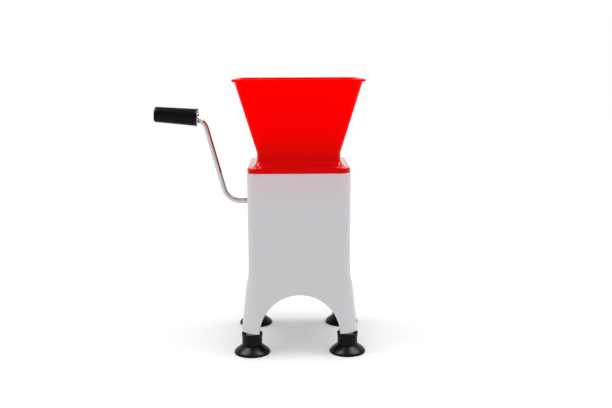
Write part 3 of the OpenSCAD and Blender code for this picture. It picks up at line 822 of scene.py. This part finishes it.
def make_hopper():
    """Rounded square rings, lofted round the hopper's section from the skirt's foot and back."""
    funnel_centre = NECK_CENTRE * FUNNEL_HALF / NECK_HALF
    slope = (FUNNEL_HALF - NECK_HALF) / (RIM_Z - TAPER_Z)
    mouth_half = FUNNEL_HALF - HOPPER_WALL + slope * (RIM_TOP - RIM_Z)
    skirt_inner = SKIRT_HALF - HOPPER_WALL
    chute_half = NECK_HALF - HOPPER_WALL
    under = SHOULDER_Z - HOPPER_WALL
    corners = [
        (SKIRT_HALF, SKIRT_BOTTOM, CORNER_AT, SKIRT_EDGE_R),
        (SKIRT_HALF, COLLAR_BOTTOM, CORNER_AT, 0),
        (COLLAR_HALF, COLLAR_BOTTOM, CORNER_AT, COLLAR_LOW_R),
        (COLLAR_HALF, SHOULDER_Z, CORNER_AT, COLLAR_TOP_R),
        (NECK_HALF, SHOULDER_Z, NECK_CENTRE, NECK_FILLET_R),
        (NECK_HALF, TAPER_Z, NECK_CENTRE, TAPER_BEND_R),
        (FUNNEL_HALF, RIM_Z, funnel_centre, RIM_UNDER_R),
        (RIM_HALF, RIM_Z, funnel_centre, RIM_EDGE_R),
        (RIM_HALF, RIM_TOP, funnel_centre, RIM_EDGE_R),
        (mouth_half, RIM_TOP, funnel_centre, MOUTH_EDGE_R),
        (chute_half, TAPER_Z, NECK_CENTRE, TAPER_BEND_R),
        (chute_half, CHUTE_Z, NECK_CENTRE, CHUTE_EDGE_R),
        (NECK_HALF, CHUTE_Z, NECK_CENTRE, CHUTE_EDGE_R),
        (NECK_HALF, under, NECK_CENTRE, UNDER_SHOULDER_R),
        (skirt_inner, under, CORNER_AT, UNDER_SHOULDER_R),
        (skirt_inner, SKIRT_BOTTOM, CORNER_AT, SKIRT_EDGE_R),
    ]
    line = soften(corners, closed=True, steps=HOPPER_ROUND_STEPS)
    rings = [square_ring(half, centre, z, HOPPER_CORNER_STEPS) for half, z, centre in line]
    points, faces = loft(rings, closed=True)
    hopper = add_piece("hopper_shell", points, faces, "hopper", HOPPER_RED,
                       SHARP_TURN_ROUNDED)
    weigh_normals(hopper)
    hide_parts("hopper")


# ---------- crank and grip ----------

def elbow_point():
    """Where the arm's and the spindle's centrelines cross."""
    return Vector((ARM_X - ARM_RISE * math.tan(ARM_LEAN), 0, SHAFT_Z + ARM_RISE))


def grip_direction():
    """The spindle's direction, from the arm out to the grip's free end."""
    return Vector((-math.cos(GRIP_TILT), 0, math.sin(GRIP_TILT)))


def on_spindle(s):
    """Place with its own Z along the grip's axis, s from the upper bend's corner."""
    direction = grip_direction()
    rotation = direction.to_track_quat("Z", "Y").to_matrix().to_4x4()
    return Matrix.Translation(elbow_point() + direction * s) @ rotation


def rod_path():
    """Centreline of the rod with both bends as arcs, from the clip end to the spindle's tip."""
    elbow = elbow_point()
    tip = elbow + grip_direction() * SPINDLE_END
    corners = [
        (SHAFT_END, SHAFT_Z, 0),
        (ARM_X, SHAFT_Z, BEND_R),
        (elbow.x, elbow.z, BEND_R),
        (tip.x, tip.z, 0),
    ]
    return [Vector((x, 0, z)) for x, z in soften_section(corners, closed=False, steps=BEND_STEPS)]


def make_rod():
    """Rings along the rod's centreline, with a chamfer at each end."""
    path = rod_path()
    first = (path[1] - path[0]).normalized()
    last = (path[-1] - path[-2]).normalized()
    tip_r = ROD_R - ROD_CHAMFER
    stations = [(path[0], tip_r), (path[0] + first * ROD_CHAMFER, ROD_R)]
    stations += [(p, ROD_R) for p in path[1:-1]]
    stations += [(path[-1] - last * ROD_CHAMFER, ROD_R), (path[-1], tip_r)]
    rings = []
    for i, (centre, radius) in enumerate(stations):
        ahead = stations[min(i + 1, len(stations) - 1)][0] - stations[max(i - 1, 0)][0]
        tangent = ahead.normalized()
        normal = Vector((-tangent.z, 0, tangent.x))
        ring = []
        for k in range(ROD_SIDES):
            angle = math.tau * k / ROD_SIDES
            sideways = Vector((0, radius * math.sin(angle), 0))
            ring.append(tuple(centre + normal * radius * math.cos(angle) + sideways))
        rings.append(ring)
    points, faces = loft(rings, closed=False)
    faces.append(tuple(range(ROD_SIDES)))
    faces.append(tuple(range(len(points) - ROD_SIDES, len(points))))
    rod = add_piece("crank_bar", points, faces, "crank", CHROME)
    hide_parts("crank_rod")


def make_grip():
    """Rolling grip with a lip at its mouth and a fine groove near its free end."""
    taper = (GRIP_R_OUT - GRIP_R_IN) / GRIP_L
    groove_at = GRIP_L - GROOVE_FROM_END
    groove_r = GRIP_R_IN + taper * groove_at
    cap_bore_end = GRIP_L - CAP_BORE_DEPTH
    ferrule_seat_r = FERRULE_R + FERRULE_GAP
    spindle_bore_r = ROD_R + SPINDLE_GAP
    corners = [
        (ferrule_seat_r, 0, MOUTH_R),
        (GRIP_R_IN + MOUTH_LIP_OUT, 0, MOUTH_LIP_R),
        (GRIP_R_IN + MOUTH_LIP_EDGE_OUT, MOUTH_LIP_END, LIP_FOOT_R),
        (GRIP_R_IN + taper * LIP_FOOT_END, LIP_FOOT_END, LIP_FOOT_R),
        (groove_r, groove_at, GROOVE_R),
        (groove_r - GROOVE_DEPTH, groove_at + GROOVE_DEPTH, GROOVE_R),
        (groove_r, groove_at + 2 * GROOVE_DEPTH, GROOVE_R),
        (GRIP_R_OUT, GRIP_L, GRIP_END_R),
        (CAP_BORE_R, GRIP_L, CAP_BORE_EDGE_R),
        (CAP_BORE_R, cap_bore_end, 0),
        (spindle_bore_r, cap_bore_end, 0),
        (spindle_bore_r, RECESS_DEPTH, 0),
        (ferrule_seat_r, RECESS_DEPTH, 0),
    ]
    points, faces = closed_lathe(corners, GRIP_SIDES, on_spindle(GRIP_START))
    grip = add_piece("grip_sleeve", points, faces, "grip", BLACK_GRIP,
                     SHARP_TURN_ROUNDED)
    weigh_normals(grip)
    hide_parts("grip")


def make_ferrule():
    """The bright tube at the grip's mouth, and a black tube in it that paints the shade inside its
    mouth.
    """
    bore_r = FERRULE_R - FERRULE_WALL
    length = FERRULE_OUT + FERRULE_IN
    corners = [
        (bore_r, 0, FERRULE_MOUTH_R),
        (FERRULE_R, 0, FERRULE_MOUTH_R),
        (FERRULE_R, length, FERRULE_EDGE_R),
        (bore_r, length, FERRULE_EDGE_R),
    ]
    mouth = GRIP_START - FERRULE_OUT
    points, faces = closed_lathe(corners, GRIP_SIDES, on_spindle(mouth))
    ferrule = add_piece("ferrule_tube", points, faces, "grip", BRIGHT)
    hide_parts("grip_ferrule")
    # Painted shade: a black tube in the ferrule's bore stands in for the dark inside of its mouth
    shade_tube_in = bore_r - PAINTED_SHADE_TUBE_IN
    shade_tube_out = bore_r - PAINTED_SHADE_TUBE_GAP
    shade_tube = [
        (shade_tube_in, 0, FERRULE_EDGE_R),
        (shade_tube_out, 0, FERRULE_EDGE_R),
        (shade_tube_out, FERRULE_IN, FERRULE_EDGE_R),
        (shade_tube_in, FERRULE_IN, FERRULE_EDGE_R),
    ]
    points, faces = closed_lathe(shade_tube, GRIP_SIDES, on_spindle(mouth + PAINTED_SHADE_TUBE_SET_BACK))
    add_piece("grip_painted_shade_tube", points, faces, "grip", BLACK_GRIP)


# ---------- solids that are shown as they are ----------

def finish_solids():
    """Gives each CAD solid that stays in sight its material."""
    finishes = {
        "chamber": CHAMBER_RED,
        "grip_end_cap": BLACK_GRIP,
        "grip_stop_ring": ZINC,
        "grip_push_nut": ZINC,
        "bush_left": NYLON,
        "bush_right": NYLON,
        "thrust_washer": NYLON,
        "shaft_clip": ZINC,
        "rotor_hub": HUB_STEEL,
        "blade_spacers": HUB_STEEL,
        "drive_pins": HUB_STEEL,
        "comb_front": BLADE_STEEL,
        "comb_rear": BLADE_STEEL,
        "comb_screws": ZINC,
        "chamber_screws": ZINC,
    }
    for blade in range(1, 8):
        finishes["blade_" + str(blade)] = BLADE_STEEL
    for name, material in finishes.items():
        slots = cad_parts[name].data.materials
        slots.clear()
        slots.append(material)


# ---------- studio ----------

def make_floor():
    """A wide pale floor, lifted to white for camera, glossy and transmission rays only."""
    half = FLOOR_HALF
    mesh = bpy.data.meshes.new("floor")
    corners = [(-half, -half, 0), (half, -half, 0), (half, half, 0), (-half, half, 0)]
    mesh.from_pydata([Vector(p) * MM for p in corners], [], [(0, 1, 2, 3)])
    floor = bpy.data.objects.new("floor", mesh)
    bpy.context.scene.collection.objects.link(floor)
    material, nodes, links, shader = new_material("paper floor")
    feed(links, shader.inputs["Base Color"], FLOOR_COLOUR)
    shader.inputs["Roughness"].default_value = 0.9
    shader.inputs["Specular IOR Level"].default_value = 0.2
    feed(links, shader.inputs["Emission Color"], PURE_WHITE)
    # Painted shade and light: the lift is weaker near the object, which paints extra shade round it;
    # farther out it evens the floor to white and paints out the lamps' outer shadows
    glow = by_distance(nodes, links, near=90, far=380, at_near=0.19, at_far=0.42)
    lift = calculate(nodes, links, "MULTIPLY", seen_directly(nodes, links), glow)
    links.new(lift, shader.inputs["Emission Strength"])
    mesh.materials.append(material)


def make_world():
    """White when seen directly, and plain ambient light at a lower level for the object."""
    world = bpy.data.worlds.new("studio")
    bpy.context.scene.world = world
    world.use_nodes = True
    nodes, links = world.node_tree.nodes, world.node_tree.links
    background = nodes["Background"]
    feed(links, background.inputs["Color"], PURE_WHITE)
    level = remap(nodes, links, seen_directly(nodes, links), AMBIENT, 1)
    strength = calculate(nodes, links, "MULTIPLY", level, unlit_front(nodes, links))
    links.new(strength, background.inputs["Strength"])


def unlit_front(nodes, links):
    """1 for every ray but a reflection, for which the room darkens away from the +Y backdrop."""
    coordinates = nodes.new("ShaderNodeTexCoord")
    split = nodes.new("ShaderNodeSeparateXYZ")
    links.new(coordinates.outputs["Generated"], split.inputs["Vector"])
    y = split.outputs["Y"]
    room = remap(nodes, links, y, at_low=0.7, at_high=1, low=0.3, high=0.85, kind="SMOOTHSTEP")
    glossy = nodes.new("ShaderNodeLightPath").outputs["Is Glossy Ray"]
    choose = nodes.new("ShaderNodeMix")
    choose.inputs["A"].default_value = 1
    links.new(glossy, choose.inputs["Factor"])
    links.new(room, choose.inputs["B"])
    return choose.outputs["Result"]


def add_softbox(name, at, target, size, power, only_mirrored=False):
    """A rectangular lamp. It lights the object, or else it shows in reflections only."""
    light = bpy.data.lights.new(name, "AREA")
    light.shape = "RECTANGLE"
    light.size = size[0] * MM
    light.size_y = size[1] * MM
    light.energy = power
    lamp = bpy.data.objects.new(name, light)
    lamp.location = Vector(at) * MM
    lamp.rotation_euler = (Vector(target) - Vector(at)).to_track_quat("-Z", "Y").to_euler()
    lamp.visible_glossy = only_mirrored
    lamp.visible_diffuse = not only_mirrored
    lamp.visible_transmission = not only_mirrored
    bpy.context.scene.collection.objects.link(lamp)


def add_sky_panel(name, elevation, spread_angle, strength):
    """A very wide far-off light, so that the floor is lit evenly out to its edges."""
    light = bpy.data.lights.new(name, "SUN")
    light.angle = math.radians(spread_angle)
    light.energy = strength
    lamp = bpy.data.objects.new(name, light)
    lamp.rotation_euler = (math.radians(90 - elevation), 0, 0)
    lamp.visible_glossy = False
    bpy.context.scene.collection.objects.link(lamp)


def make_lights():
    """Soft lamps above, in front and at both sides, and a glint above each side."""
    add_sky_panel("overhead panel", elevation=87, spread_angle=60, strength=0.35)
    add_softbox("front fill", at=(-150, -900, 1350), target=(-60, 0, 250),
                size=(1500, 500), power=1.8)
    strip = (300, 1000)
    add_softbox("left strip", at=(-1200, 60, 450), target=OBJECT_MIDDLE, size=strip, power=0.9)
    add_softbox("right strip", at=(1200, 100, 450), target=OBJECT_MIDDLE, size=strip, power=1.3)
    for side, name in ((-1, "left"), (1, "right")):
        add_softbox(name + " softbox", at=(side * 1100, -110, 1870), target=OBJECT_MIDDLE,
                    size=(1000, 1200), power=6.6)
        add_softbox(name + " glint", at=(side * 1000, -90, 1700), target=OBJECT_MIDDLE,
                    size=(900, 1100), power=60.0, only_mirrored=True)


def make_camera():
    """A camera where the photograph's was. Its axes are turned by roll, pitch and heading."""
    data = bpy.data.cameras.new("camera")
    data.sensor_width = SENSOR_MM
    data.lens = FOCAL_PX / IMAGE_W * SENSOR_MM
    data.clip_end = CLIP_END_M
    camera = bpy.data.objects.new("camera", data)
    heading = Matrix.Rotation(CAMERA_HEADING, 4, "Z")
    pitch = Matrix.Rotation(QUARTER_TURN - CAMERA_PITCH, 4, "X")
    roll = Matrix.Rotation(CAMERA_ROLL, 4, "Z")
    camera.matrix_world = Matrix.Translation(Vector(CAMERA_AT) * MM) @ heading @ pitch @ roll
    bpy.context.scene.collection.objects.link(camera)
    bpy.context.scene.camera = camera
    bpy.context.scene.view_settings.view_transform = "Standard"


make_camera()
make_floor()
make_world()
make_lights()

make_housing()
make_leg_ends_and_posts()
make_leg_pegs()
make_bush_boss()
make_feet()
make_hopper()
make_rod()
make_grip()
make_ferrule()
finish_solids()
